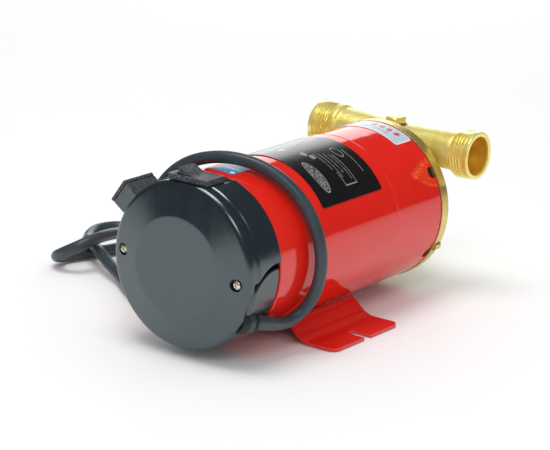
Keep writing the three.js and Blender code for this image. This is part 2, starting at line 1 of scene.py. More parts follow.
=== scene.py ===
"""Inline circulator pump on its foot bracket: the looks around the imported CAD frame.

Shapes are drawn in millimetres about the motor axis (y runs along the motor, z is up, the axis
is z = 0), as in the CAD, and carried into the row frame in metres when a piece is finished.
"""

import json
import math

import bmesh
import bpy
from mathutils import Matrix, Vector


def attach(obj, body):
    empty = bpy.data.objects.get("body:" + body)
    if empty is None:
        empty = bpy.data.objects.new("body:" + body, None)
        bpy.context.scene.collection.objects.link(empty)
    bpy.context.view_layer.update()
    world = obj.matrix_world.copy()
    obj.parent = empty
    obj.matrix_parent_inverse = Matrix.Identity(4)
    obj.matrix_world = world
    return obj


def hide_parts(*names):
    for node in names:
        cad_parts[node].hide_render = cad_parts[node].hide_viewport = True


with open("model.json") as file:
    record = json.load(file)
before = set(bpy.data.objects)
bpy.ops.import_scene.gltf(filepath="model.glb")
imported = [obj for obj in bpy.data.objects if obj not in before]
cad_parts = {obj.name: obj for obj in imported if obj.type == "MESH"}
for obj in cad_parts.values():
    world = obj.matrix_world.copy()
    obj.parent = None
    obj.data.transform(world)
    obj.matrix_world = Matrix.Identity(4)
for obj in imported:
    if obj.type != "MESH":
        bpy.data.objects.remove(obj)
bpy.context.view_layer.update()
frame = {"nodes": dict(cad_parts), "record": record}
nodes = frame["nodes"]

AXIS_HEIGHT = 46.6
MIDDLE = 96.55
TO_ROW = Matrix.Scale(0.001, 4) @ Matrix.Translation((0, -MIDDLE, AXIS_HEIGHT))
GROUND = -AXIS_HEIGHT
COVER_RADIUS = 43.2
POCKET_ANGLE = -19.0
POCKET_STATION = 19.4
POCKET_RADIUS = 20.4


# ---------------------------------------------------------------- shape helpers

def polar(radius, angle):
    return radius * math.cos(math.radians(angle)), radius * math.sin(math.radians(angle))


def on_axis(axis, a, b, height):
    """A point from two coordinates across an axis and one along it."""
    return {"x": (height, a, b), "y": (a, height, b), "z": (a, b, height)}[axis]


def new_piece(name, bm):
    bmesh.ops.recalc_face_normals(bm, faces=bm.faces)
    mesh = bpy.data.meshes.new(name)
    bm.to_mesh(mesh)
    bm.free()
    obj = bpy.data.objects.new(name, mesh)
    bpy.context.scene.collection.objects.link(obj)
    return obj


def rounded(points, steps=5, closed=False):
    """Points (a, b) stay sharp; points (a, b, r) become an arc of radius r."""
    out = []
    for i, point in enumerate(points):
        if len(point) == 2 or (not closed and i in (0, len(points) - 1)):
            out.append(tuple(point[:2]))
            continue
        before = Vector(points[i - 1][:2])
        corner = Vector(point[:2])
        after = Vector(points[(i + 1) % len(points)][:2])
        u, v = (before - corner), (after - corner)
        room = 0.49 * min(u.length, v.length)
        u.normalize()
        v.normalize()
        half = math.acos(max(-1, min(1, u.dot(v)))) / 2
        reach = min(point[2] / math.tan(half), room)
        radius = reach * math.tan(half)
        centre = corner + (u + v).normalized() * (radius / math.sin(half))
        start, end = corner + u * reach - centre, corner + v * reach - centre
        sweep = math.pi - 2 * half
        for k in range(steps + 1):
            t = k / steps
            arm = start * math.sin((1 - t) * sweep) + end * math.sin(t * sweep)
            out.append(tuple(centre + arm / math.sin(sweep)))
    return out


def lathe(name, profile, segments=96, axis="y", shape=None, crowd=None):
    """Turns (radius, height) points round an axis. shape(radius, height, angle) may change a radius,
    and the columns stand four times closer at the angle crowd."""
    closed = tuple(profile[0]) == tuple(profile[-1])
    bm = bmesh.new()
    rings = []
    for radius, height in profile[:-1] if closed else profile:
        ring = []
        for k in range(segments if radius > 1e-6 else 1):
            angle = 2 * math.pi * k / segments
            if crowd is not None:
                angle -= 0.75 * math.sin(angle - math.radians(crowd))
            r = shape(radius, height, angle) if shape else radius
            ring.append(bm.verts.new(on_axis(axis, r * math.cos(angle), r * math.sin(angle), height)))
        rings.append(ring)
    for first, second in zip(rings, rings[1:] + (rings[:1] if closed else [])):
        for k in range(segments):
            corners = [first[k % len(first)], first[(k + 1) % segments % len(first)],
                       second[(k + 1) % segments % len(second)], second[k % len(second)]]
            corners = list(dict.fromkeys(corners))
            if len(corners) > 2:
                bm.faces.new(corners)
    return new_piece(name, bm)


def rod(name, radius, low, high, axis="y", segments=64):
    return lathe(name, [(0, low), (radius, low), (radius, high), (0, high)], segments, axis)


def prism(name, outline, low, high, axis="z"):
    bm = bmesh.new()
    bottom = [bm.verts.new(on_axis(axis, a, b, low)) for a, b in outline]
    top = [bm.verts.new(on_axis(axis, a, b, high)) for a, b in outline]
    bm.faces.new(bottom[::-1])
    bm.faces.new(top)
    for k in range(len(outline)):
        n = (k + 1) % len(outline)
        bm.faces.new([bottom[k], bottom[n], top[n], top[k]])
    return new_piece(name, bm)


def rectangle(a0, b0, a1, b1, radius=0.0, steps=5):
    corners = [(a0, b0), (a1, b0), (a1, b1), (a0, b1)]
    if not radius:
        return corners
    return rounded([(a, b, radius) for a, b in corners], steps, closed=True)


def turn(obj, matrix):
    obj.data.transform(matrix)
    return obj


def around_motor(obj, angle):
    """Turns what is drawn on the +X side about the motor axis, to that angle above +X."""
    return turn(obj, Matrix.Rotation(-math.radians(angle), 4, "Y"))


def shifted(obj, x, y, z):
    return turn(obj, Matrix.Translation((x, y, z)))


def apply_modifiers(obj):
    bpy.context.view_layer.update()
    depsgraph = bpy.context.evaluated_depsgraph_get()
    mesh = bpy.data.meshes.new_from_object(obj.evaluated_get(depsgraph))
    obj.modifiers.clear()
    obj.data = mesh
    return obj


def combine(obj, tools, operation="DIFFERENCE"):
    for tool in tools:
        modifier = obj.modifiers.new("combine", "BOOLEAN")
        modifier.operation = operation
        modifier.object = tool
        modifier.solver = "EXACT"
    apply_modifiers(obj)
    for tool in tools:
        bpy.data.objects.remove(tool)
    return obj


def cut(obj, *tools):
    return combine(obj, tools)


def joined(obj, *tools):
    return combine(obj, tools, "UNION")


def finish(obj, material, body="pump", stands_for=(), bevel=0.0, angle=35, segments=2):
    """Carries a piece into the row frame, rounds its edges and puts it on its body."""
    obj.data.transform(TO_ROW)
    obj.data.shade_smooth()
    if bevel:
        modifier = obj.modifiers.new("edges", "BEVEL")
        modifier.width = bevel * 0.001
        modifier.segments = segments
        modifier.limit_method = "ANGLE"
        modifier.angle_limit = math.radians(angle)
        modifier.miter_outer = "MITER_ARC"
        weighted = obj.modifiers.new("normals", "WEIGHTED_NORMAL")
        weighted.keep_sharp = True
    obj.data.materials.clear()
    obj.data.materials.append(material)
    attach(obj, body)
    if stands_for:
        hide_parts(*stands_for)
    return obj


# ---------------------------------------------------------------- camera

def make_camera():
    """From the cover's end, to the right and a little above, with a long lens."""
    data = bpy.data.cameras.new("camera")
    data.lens = 155.54
    data.clip_start = 0.01
    data.clip_end = 50
    camera = bpy.data.objects.new("camera", data)
    right = Vector((0.80407, 0.59351, 0.03474))
    up = Vector((-0.19183, 0.20370, 0.96006))
    back = Vector((0.56273, -0.77862, 0.27764))
    camera.matrix_world = Matrix.LocRotScale(
        Vector((0.68186, -0.96512, 0.38761)),
        Matrix((right, up, back)).transposed(),
        None,
    )
    bpy.context.scene.collection.objects.link(camera)
    bpy.context.scene.camera = camera


make_camera()


# ---------------------------------------------------------------- shader helpers

class Shade:
    """A material whose patterns are laid out in the row frame, in millimetres."""

    def __init__(self, name):
        self.material = bpy.data.materials.new(name)
        self.material.use_nodes = True
        self.tree = self.material.node_tree
        self.surface = self.tree.nodes["Principled BSDF"]
        coordinates = self.add("ShaderNodeTexCoord").outputs["Object"]
        scaled = self.add("ShaderNodeVectorMath", operation="SCALE")
        self.link(coordinates, scaled.inputs[0])
        scaled.inputs["Scale"].default_value = 1000
        self.place = scaled.outputs["Vector"]
        split = self.add("ShaderNodeSeparateXYZ")
        self.link(self.place, split.inputs[0])
        self.x, self.y, self.z = split.outputs

    def add(self, kind, **settings):
        node = self.tree.nodes.new(kind)
        for key, value in settings.items():
            setattr(node, key, value)
        return node

    def link(self, source, target):
        self.tree.links.new(source, target)

    def feed(self, target, value):
        if isinstance(value, bpy.types.NodeSocket):
            self.link(value, target)
        else:
            target.default_value = value

    def calc(self, operation, *values):
        node = self.add("ShaderNodeMath", operation=operation)
        for target, value in zip(node.inputs, values):
            self.feed(target, value)
        return node.outputs[0]

    def stretched(self, factors):
        node = self.add("ShaderNodeVectorMath", operation="MULTIPLY")
        self.link(self.place, node.inputs[0])
        node.inputs[1].default_value = factors
        return node.outputs[0]

    def noise(self, scale, detail=3.0, roughness=0.55, stretch=None):
        node = self.add("ShaderNodeTexNoise")
        self.link(self.stretched(stretch) if stretch else self.place, node.inputs["Vector"])
        node.inputs["Scale"].default_value = scale
        node.inputs["Detail"].default_value = detail
        node.inputs["Roughness"].default_value = roughness
        return node.outputs["Fac"]

    def cells(self, scale):
        node = self.add("ShaderNodeTexVoronoi", feature="F1")
        self.link(self.place, node.inputs["Vector"])
        node.inputs["Scale"].default_value = scale
        return node.outputs["Distance"]

    def remap(self, value, low, high, to_low=0.0, to_high=1.0):
        node = self.add("ShaderNodeMapRange")
        self.feed(node.inputs["Value"], value)
        limits = {"From Min": low, "From Max": high, "To Min": to_low, "To Max": to_high}
        for key, number in limits.items():
            node.inputs[key].default_value = number
        return node.outputs["Result"]

    def blend(self, amount, first, second):
        node = self.add("ShaderNodeMix", data_type="RGBA")
        self.feed(node.inputs["Factor"], amount)
        for target, value in ((node.inputs["A"], first), (node.inputs["B"], second)):
            self.feed(target, value if isinstance(value, bpy.types.NodeSocket) else (*value, 1))
        return node.outputs["Result"]

    def bump(self, height, distance, strength=1.0, below=None):
        node = self.add("ShaderNodeBump")
        self.link(height, node.inputs["Height"])
        node.inputs["Distance"].default_value = distance * 0.001
        node.inputs["Strength"].default_value = strength
        if below:
            self.link(below, node.inputs["Normal"])
        return node.outputs["Normal"]

    def near(self, value, centre, half):
        return self.calc("COMPARE", value, centre, half)

    def box(self, u, v, u0, u1, v0, v1):
        across = self.near(u, (u0 + u1) / 2, (u1 - u0) / 2)
        along = self.near(v, (v0 + v1) / 2, (v1 - v0) / 2)
        return self.calc("MULTIPLY", across, along)

    def ellipse(self, u, v, centre, radii):
        """1 on the ellipse, less inside it."""
        parts = []
        for value, middle, radius in zip((u, v), centre, radii):
            share = self.calc("DIVIDE", self.calc("SUBTRACT", value, middle), radius)
            parts.append(self.calc("MULTIPLY", share, share))
        return self.calc("SQRT", self.calc("ADD", *parts))

    def angle(self):
        """Degrees about the motor axis, from +X upwards."""
        height = self.calc("SUBTRACT", self.z, AXIS_HEIGHT)
        return self.calc("MULTIPLY", self.calc("ARCTAN2", height, self.x), 180 / math.pi)

    def station(self):
        """Distance along the motor, as in the shapes."""
        return self.calc("ADD", self.y, MIDDLE)

    def set(self, **values):
        """Feeds the surface's sockets: a pattern by a link, and a uniform value as it is."""
        for key, value in values.items():
            self.feed(self.surface.inputs[key.replace("_", " ")], value)


def cover_plastic():
    """Dark blue-grey gloss, with painted shade in the groove round the cord's pocket, where it is also
    duller.
    """
    s = Shade("cover_plastic_look")
    cloud = s.noise(0.05, 3)
    grain = s.noise(2.4, 4)
    dust = s.remap(s.noise(0.9, 2, 0.7), 0.735, 0.76)
    base = s.blend(s.remap(cloud, 0.3, 0.7), (0.009, 0.015, 0.020), (0.013, 0.020, 0.026))
    swing = s.calc("MULTIPLY", s.calc("SUBTRACT", s.angle(), POCKET_ANGLE), math.radians(COVER_RADIUS))
    distance = s.ellipse(swing, s.station(), (0.0, POCKET_STATION), (1.0, 1.0))
    # Painted shade: a ring round the cord's pocket, where the angle about the axis is under 60 degrees, is
    # darkened nearly to black and made rougher and less shiny. It stands in for the shade in the groove.
    ring = s.calc("MULTIPLY", s.remap(distance, 16.4, 17.4), s.remap(distance, 20.3, 19.6))
    groove = s.calc("MULTIPLY", ring, s.calc("LESS_THAN", s.angle(), 60.0))
    base = s.blend(s.calc("MULTIPLY", groove, 0.8), base, (0.002, 0.003, 0.004))
    s.set(Base_Color=s.blend(s.calc("MULTIPLY", dust, 0.5), base, (0.20, 0.22, 0.24)))
    wear = s.remap(s.noise(0.16, 4, 0.6, (1, 1, 0.4)), 0.3, 0.7, 0.15, 0.24)
    rough = s.calc("ADD", wear, s.remap(grain, 0.3, 0.7, -0.02, 0.03))
    s.set(Roughness=s.calc("ADD", rough, s.calc("MULTIPLY", groove, 0.4)))
    s.set(Normal=s.bump(s.noise(0.12, 2), 0.12, 0.25, s.bump(grain, 0.012, 0.5)))
    s.set(Specular_IOR_Level=s.remap(groove, 0, 1, 1.0, 0.12))
    s.set(IOR=1.6, Specular_Tint=(0.86, 1.0, 1.03, 1))
    return s.material


def grained_plastic(name, dark, light, rough, depth):
    s = Shade(name)
    grain = s.cells(1.1)
    fine = s.noise(2.0, 4, 0.7)
    height = s.calc("ADD", s.remap(grain, 0.1, 0.9), s.calc("MULTIPLY", fine, 0.6))
    s.set(Base_Color=s.blend(s.remap(height, 0.55, 1.2), dark, light))
    s.set(Roughness=s.remap(s.noise(0.4, 3), 0.3, 0.7, rough - 0.08, rough + 0.08))
    s.set(Normal=s.bump(height, depth, 0.9))
    return s.material


def red_paint():
    s = Shade("red_paint_look")
    cloud = s.noise(0.03, 3)
    peel = s.noise(0.5, 2, 0.4)
    colour = s.blend(s.remap(cloud, 0.3, 0.7), (0.68, 0.0125, 0.0060), (0.74, 0.017, 0.0085))
    scuffs = s.remap(s.noise(1.1, 5, 0.7, (1, 0.25, 1)), 0.66, 0.75)
    s.set(Base_Color=s.blend(s.calc("MULTIPLY", scuffs, 0.25), colour, (0.55, 0.05, 0.035)))
    wear = s.calc("MULTIPLY", scuffs, 0.12)
    s.set(Roughness=s.calc("ADD", s.remap(cloud, 0.3, 0.7, 0.07, 0.11), wear))
    s.set(Normal=s.bump(peel, 0.035, 0.28, s.bump(s.noise(0.045, 2), 0.6, 0.16)))
    s.set(IOR=1.5, Specular_IOR_Level=0.75)
    return s.material


def brass_look(name, cast, dark=(0.89, 0.69, 0.14), light=(1.0, 0.91, 0.35), metallic=0.5):
    s = Shade(name)
    cloud = s.noise(0.09, 4, 0.6)
    base = s.blend(s.remap(cloud, 0.3, 0.7), dark, light)
    stain = s.remap(s.noise(0.22, 5, 0.65), 0.55, 0.75)
    s.set(Base_Color=s.blend(s.calc("MULTIPLY", stain, 0.35), base, (0.68, 0.42, 0.08)))
    fine = s.noise(2.2 if cast else 1.2, 5, 0.6, None if cast else (0.15, 1, 1))
    low, high = (0.30, 0.46) if cast else (0.20, 0.34)
    s.set(Roughness=s.remap(s.noise(0.35, 4), 0.3, 0.7, low, high))
    pitted = s.bump(fine, 0.10 if cast else 0.02, 0.8)
    s.set(Normal=s.bump(s.noise(0.32, 3), 0.5 if cast else 0.12, 0.5, pitted))
    s.set(Metallic=metallic)
    return s.material


def metal_look(name, dark, light, low, high):
    s = Shade(name)
    streak = s.noise(1.6, 4, 0.6, (1, 0.3, 1))
    s.set(Base_Color=s.blend(s.remap(s.noise(0.3, 4), 0.3, 0.7), dark, light))
    s.set(Roughness=s.remap(streak, 0.3, 0.7, low, high))
    s.set(Normal=s.bump(streak, 0.03, 0.6), Metallic=1.0)
    return s.material


def plain_look(name, dark, light, low, high, depth=0.03, metallic=0.0):
    s = Shade(name)
    grain = s.noise(1.5, 4)
    s.set(Base_Color=s.blend(s.remap(s.noise(0.15, 4), 0.3, 0.7), dark, light))
    s.set(Roughness=s.remap(grain, 0.3, 0.7, low, high))
    s.set(Normal=s.bump(grain, depth, 0.6), Metallic=metallic)
    return s.material


def cord_sheath():
    s = Shade("cord_sheath_look")
    cloud = s.noise(0.06, 4, 0.6)
    grain = s.noise(2.8, 4, 0.6)
    dust = s.remap(s.noise(0.5, 5, 0.7), 0.52, 0.72)
    base = s.blend(s.remap(cloud, 0.3, 0.7), (0.028, 0.042, 0.052), (0.044, 0.062, 0.074))
    s.set(Base_Color=s.blend(s.calc("MULTIPLY", dust, 0.22), base, (0.11, 0.13, 0.14)))
    s.set(Roughness=s.calc("ADD", s.remap(grain, 0.3, 0.7, 0.34, 0.42), s.calc("MULTIPLY", dust, 0.08)))
    s.set(Normal=s.bump(s.noise(0.35, 3), 0.10, 0.35, s.bump(grain, 0.02, 0.5)))
    return s.material


def nameplate_look():
    """Black foil with generic pale marks: ovals, rules, a bracket and blocks, and no letters."""
    s = Shade("nameplate_look")
    u = s.remap(s.angle(), 31.5, 112.0)
    v = s.remap(s.station(), 65.0, 117.0)
    busy = s.remap(s.noise(1.5, 3, 0.8, (1, 0.7, 1)), 0.47, 0.53)
    speck = s.remap(s.noise(2.6, 2, 0.8), 0.50, 0.55)
    marks = []
    oval = s.ellipse(u, v, (0.29, 0.20), (0.18, 0.075))
    marks.append(s.near(oval, 0.96, 0.045))
    marks.append(s.calc("MULTIPLY", s.calc("LESS_THAN", oval, 0.86), busy))
    small = s.ellipse(u, v, (0.47, 0.78), (0.075, 0.05))
    marks.append(s.near(small, 0.93, 0.07))
    for v0, u0, u1 in ((0.47, 0.30, 0.54), (0.525, 0.20, 0.52), (0.58, 0.24, 0.50), (0.635, 0.17, 0.48)):
        rule = s.box(u, v, u0, u1, v0 - 0.009, v0 + 0.009)
        marks.append(s.calc("MULTIPLY", rule, speck))
    for frame_box in ((0.12, 0.46, 0.672, 0.680), (0.12, 0.132, 0.50, 0.68), (0.12, 0.27, 0.492, 0.500),
                      (0.20, 0.48, 0.866, 0.874)):
        marks.append(s.box(u, v, *frame_box))
    for u0, v0 in ((0.50, 0.41), (0.57, 0.37), (0.75, 0.30)):
        blob = s.ellipse(u, v, (u0, v0), (0.034, 0.038))
        marks.append(s.calc("LESS_THAN", blob, s.remap(s.noise(0.8, 2), 0.3, 0.7, 0.6, 1.2)))
    for v0 in (0.25, 0.42, 0.60, 0.80):
        rule = s.box(u, v, 0.74, 0.94, v0 - 0.014, v0 + 0.014)
        marks.append(s.calc("MULTIPLY", rule, busy))
    pale = marks[0]
    for mark in marks[1:]:
        pale = s.calc("MAXIMUM", pale, mark)
    black = s.blend(s.noise(0.2, 3), (0.004, 0.004, 0.0045), (0.009, 0.009, 0.010))
    s.set(Base_Color=s.blend(s.calc("MULTIPLY", pale, 0.5), black, (0.50, 0.50, 0.50)))
    s.set(Roughness=s.remap(s.noise(0.7, 4), 0.3, 0.7, 0.16, 0.26))
    s.set(Normal=s.bump(s.noise(0.35, 3), 0.03, 0.35, s.bump(pale, 0.02, 0.5)))
    s.set(Specular_IOR_Level=0.5)
    return s.material


def front_sticker_look():
    """Pale blue-grey paper with three red blots and a few thin dark strokes, all meaningless."""
    s = Shade("front_sticker_look")
    u, v = s.angle(), s.station()
    paper = s.blend(s.noise(0.4, 3), (0.42, 0.49, 0.58), (0.52, 0.59, 0.68))
    red = None
    for centre in (68.5, 75.0, 81.5, 88.0):
        blot = s.ellipse(u, v, (centre, 160.0), (2.2, 2.2))
        hit = s.calc("LESS_THAN", blot, s.remap(s.noise(1.1, 2, 0.7), 0.3, 0.7, 0.55, 1.35))
        red = hit if red is None else s.calc("MAXIMUM", red, hit)
    broken = s.remap(s.noise(1.4, 2, 0.8), 0.49, 0.55)
    strokes = s.calc("MULTIPLY", s.box(u, v, 71, 96, 154.2, 156.4), broken)
    rim = s.calc("SUBTRACT", 1.0, s.box(u, v, 60.2, 111.8, 151.3, 164.7))
    colour = s.blend(red, paper, (0.55, 0.05, 0.05))
    colour = s.blend(s.calc("MULTIPLY", strokes, 0.8), colour, (0.06, 0.07, 0.14))
    s.set(Base_Color=s.blend(s.calc("MULTIPLY", rim, 0.7), colour, (0.80, 0.82, 0.85)))
    s.set(Roughness=s.remap(s.noise(0.7, 4), 0.3, 0.7, 0.26, 0.38))
    s.set(Normal=s.bump(s.noise(0.5, 3), 0.03, 0.4))
    return s.material


def switch_sticker_look():
    """A blue sticker with a brown-red end, a pale spot and faint streaks."""
    s = Shade("switch_sticker_look")
    u, v = s.angle(), s.station()
    cloud = s.noise(0.5, 4, 0.7)
    blue = s.blend(s.remap(cloud, 0.35, 0.65), (0.02, 0.15, 0.30), (0.08, 0.34, 0.52))
    ends = s.remap(u, 93.0, 96.0)
    colour = s.blend(ends, blue, (0.22, 0.035, 0.025))
    streaks = s.calc("MULTIPLY", s.box(u, v, 82, 92, 33.0, 35.0), s.remap(s.noise(1.6, 2), 0.47, 0.55))
    spot = s.calc("LESS_THAN", s.ellipse(u, v, (81.5, 29.0), (1.8, 1.4)), 1.0)
    pale = s.calc("MAXIMUM", streaks, spot)
    s.set(Base_Color=s.blend(s.calc("MULTIPLY", pale, 0.8), colour, (0.75, 0.78, 0.80)))
    s.set(Roughness=s.remap(cloud, 0.3, 0.7, 0.25, 0.4))
    s.set(Normal=s.bump(cloud, 0.04, 0.4))
    return s.material


COVER = cover_plastic()
BLACK_GRAIN = grained_plastic("black_grain_look", (0.010, 0.013, 0.017), (0.092, 0.102, 0.116), 0.4, 0.2)
RED = red_paint()
CAST_BRASS = brass_look("cast_brass_look", True)
CUT_BRASS = brass_look("machined_brass_look", False)
FLANGE_BRASS = brass_look("flange_brass_look", False, (0.60, 0.44, 0.11), (0.76, 0.60, 0.22), 0.75)
# Painted shade and painted reflection: the bores get a darker, oranger brass than the outside. It stands in
# for the shade and the brass-on-brass reflection deep in the hole.
BORE_SHADE_BRASS = plain_look("bore_shade_brass_look", (0.72, 0.38, 0.02), (0.88, 0.54, 0.06), 0.32, 0.50, 0.08, 0.6)
ZINC = metal_look("zinc_look", (0.62, 0.58, 0.44), (0.85, 0.82, 0.68), 0.22, 0.38)
STEEL = metal_look("ground_steel_look", (0.50, 0.51, 0.53), (0.66, 0.67, 0.69), 0.18, 0.32)
ALUMINIUM = metal_look("cast_aluminium_look", (0.46, 0.47, 0.48), (0.62, 0.63, 0.64), 0.35, 0.55)
LAMINATION = metal_look("lamination_look", (0.20, 0.21, 0.23), (0.33, 0.34, 0.36), 0.40, 0.60)
COPPER = metal_look("winding_look", (0.45, 0.17, 0.06), (0.70, 0.30, 0.12), 0.25, 0.45)
SHEATH = cord_sheath()
RUBBER = plain_look("black_rubber_look", (0.010, 0.010, 0.011), (0.022, 0.022, 0.024), 0.45, 0.65)
GLAND_RUBBER = plain_look("gland_look", (0.030, 0.042, 0.050), (0.052, 0.068, 0.080), 0.24, 0.38, 0.04)
CREAM = plain_look("terminal_look", (0.52, 0.49, 0.38), (0.66, 0.62, 0.50), 0.40, 0.60)
WHITE = plain_look("capacitor_look", (0.68, 0.68, 0.65), (0.80, 0.80, 0.78), 0.30, 0.45)
CERAMIC = plain_look("ceramic_look", (0.72, 0.70, 0.64), (0.84, 0.82, 0.77), 0.12, 0.22)
FIBRE = plain_look("fibre_look", (0.18, 0.035, 0.02), (0.30, 0.07, 0.04), 0.55, 0.75, 0.06)


# ---------------------------------------------------------------- power cord

DIAMETER = 6.4
LYING = GROUND + DIAMETER / 2 + 0.1
COIL_CENTRE = (-88.0, 182.0)
COIL_OUTER, COIL_INNER = 38.45, 31.95
COIL_LAYER = 6.5
TIE_ANGLE = 135
PLUG_AT = (-56.0, 226.0)

# Out of the gland and round the barrel, as (angle above +X, distance along the motor, radius).
ROUND_THE_BARREL = [
    (-35, 11.2, 41.8), (-35.2, 16.5, 43.8), (-36, 22.5, 45.9), (-37, 29.5, 47.4), (-36.5, 37, 48),
    (-32, 43, 48), (-24, 46.3, 48), (-12, 47.8, 48.2), (4, 48, 48.2), (20, 47.3, 48),
    (36, 46, 47.8), (52, 44, 47.6), (68, 41, 47.4), (84, 37.5, 47.3), (100, 34.5, 47.3),
    (116, 32, 47.5), (132, 31, 47.6), (148, 31, 47.6), (164, 32, 47.8), (179, 34, 48.2),
]
# Down behind the barrel and along the ground, in two small loops, to the coil.
ON_THE_GROUND = [
    (-50.5, 37, -13), (-54.5, 40.5, -26), (-61, 44.5, -36), (-70, 50, -41.4),
    (-82, 58.5, LYING), (-96, 68.5, -42.2), (-108.5, 74.5, -39.6), (-120, 80.5, -37.2),
    (-131, 87.5, -36.4), (-141, 95, -36.7), (-149.5, 103.5, -39.8), (-157, 112.5, -42.8),
    (-163.5, 122.5, LYING), (-166.5, 133, LYING), (-162.8, 143, LYING),
    (-153, 148, LYING), (-142.5, 145, LYING), (-135, 135.5, LYING),
    (-132.5, 123, LYING), (-134.2, 110, LYING), (-138, 98, LYING),
    (-142.3, 87, LYING), (-145, 77.5, -42.9), (-142.4, 69.4, -40.4), (-134.4, 65.8, -36),
    (-126.6, 69.8, -31.4), (-123.3, 79.5, -28.8), (-123.8, 91, -29.1), (-127, 105, -31.6),
    (-131, 118, -35), (-134, 131, -36.5), (-134.6, 145, -38.6), (-131.8, 158, -41.6),
    (-128.2, 170.5, -43.1),
]


def ease(value, low, high):
    share = max(0.0, min((value - low) / (high - low), 1.0))
    return share * share * (3 - 2 * share)


def coil_points():
    """Four turns, two wide and two high: in along the ground, up, and out again on top."""
    points = []
    for turned in range(0, 1156, 15):
        inwards = ease(turned, 296, 352) - ease(turned, 905, 965)
        radius = COIL_OUTER + (COIL_INNER - COIL_OUTER) * inwards
        x, y = polar(radius, 180 - turned)
        lift = COIL_LAYER * ease(turned, 590, 655)
        points.append((COIL_CENTRE[0] + x, COIL_CENTRE[1] + y, LYING + lift))
    return points


def smooth_line(points, pieces=6):
    """Centripetal Catmull-Rom through the points."""
    p = [Vector(q) for q in points]
    p = [2 * p[0] - p[1], *p, 2 * p[-1] - p[-2]]
    out = []
    for a, b, c, d in zip(p, p[1:], p[2:], p[3:]):
        t0 = 0.0
        t1 = t0 + math.sqrt((b - a).length)
        t2 = t1 + math.sqrt((c - b).length)
        t3 = t2 + math.sqrt((d - c).length)
        for k in range(pieces):
            t = t1 + (t2 - t1) * k / pieces
            a1 = a.lerp(b, (t - t0) / (t1 - t0))
            a2 = b.lerp(c, (t - t1) / (t2 - t1))
            a3 = c.lerp(d, (t - t2) / (t3 - t2))
            b1 = a1.lerp(a2, (t - t0) / (t2 - t0))
            b2 = a2.lerp(a3, (t - t1) / (t3 - t1))
            out.append(b1.lerp(b2, (t - t1) / (t2 - t1)))
    out.append(p[-2])
    return out


def cord_line():
    start = [(polar(r, angle)[0], y, polar(r, angle)[1]) for angle, y, r in ROUND_THE_BARREL]
    entry = GROUND + 10.1
    x, y = PLUG_AT
    tail = [(x - 32, y - 4.2, entry - 0.2), (x - 24, y - 1.8, entry)]
    tail += [(x - 16, y - 0.2, entry), (x - 4, y, entry)]
    return smooth_line([*start, *ON_THE_GROUND, *coil_points(), *tail])


CORD_LINE = cord_line()


def make_cord():
    data = bpy.data.curves.new("cord", "CURVE")
    data.dimensions = "3D"
    data.bevel_depth = DIAMETER / 2 * 0.001
    data.bevel_resolution = 7
    data.use_fill_caps = True
    spline = data.splines.new("POLY")
    spline.points.add(len(CORD_LINE) - 1)
    for point, place in zip(spline.points, CORD_LINE):
        point.co = (*(TO_ROW @ place), 1)
    spline.use_smooth = True
    data.materials.append(SHEATH)
    cord = bpy.data.objects.new("cord", data)
    bpy.context.scene.collection.objects.link(cord)
    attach(cord, "pump")
    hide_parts("power_cord", "cord_coil")
    return cord


cord = make_cord()


def sleeve(name, line, radii, segments=32):
    """A round sleeve along a line, with a radius at each of its points."""
    bm = bmesh.new()
    rings = []
    reference = Vector((0, 0, 1))
    for i, point in enumerate(line):
        along = (line[min(i + 1, len(line) - 1)] - line[max(i - 1, 0)]).normalized()
        side = along.cross(reference).normalized()
        over = side.cross(along)
        ring = []
        for k in range(segments):
            c, s = polar(radii[i], 360 * k / segments)
            ring.append(bm.verts.new(point + side * c + over * s))
        rings.append(ring)
    for first, second in zip(rings, rings[1:]):
        for k in range(segments):
            n = (k + 1) % segments
            bm.faces.new([first[k], first[n], second[n], second[k]])
    bm.faces.new(rings[0][::-1])
    bm.faces.new(rings[-1])
    return new_piece(name, bm)


GLAND_ANGLE = -35
GLAND_TILT = 20


def gland_matrix():
    return (Matrix.Rotation(-math.radians(GLAND_ANGLE), 4, "Y")
            @ Matrix.Translation((40.4, 7.4, 0))
            @ Matrix.Rotation(-math.radians(GLAND_TILT), 4, "Z"))


def gland_radius(travelled):
    """A drum with a rounded edge at each end, a neck, then a long thin taper."""
    if travelled < 1.9:
        return 2.8
    if travelled < 7.7:
        edge = min(travelled - 1.9, 7.7 - travelled)
        return 5.3 - 1.3 * (1 - ease(edge, 0, 1.6))
    if travelled < 9.5:
        return 3.4
    return 3.9 - 0.74 * ease(travelled, 9.5, 28)


def make_gland():
    """A short drum at the cover, running out into a thin taper along the cord."""
    line = [gland_matrix() @ Vector((0, 0.2 * k, 0)) for k in range(-17, 36)]
    line += [p for p in CORD_LINE[:60] if p.y > line[-1].y + 0.6][:26]
    radii, travelled = [], 0.0
    for i, point in enumerate(line):
        travelled += (point - line[max(i - 1, 0)]).length
        radii.append(gland_radius(travelled))
    gland = sleeve("gland_sleeve", line, radii)
    return finish(gland, GLAND_RUBBER, stands_for=["cord_gland"])


gland = make_gland()


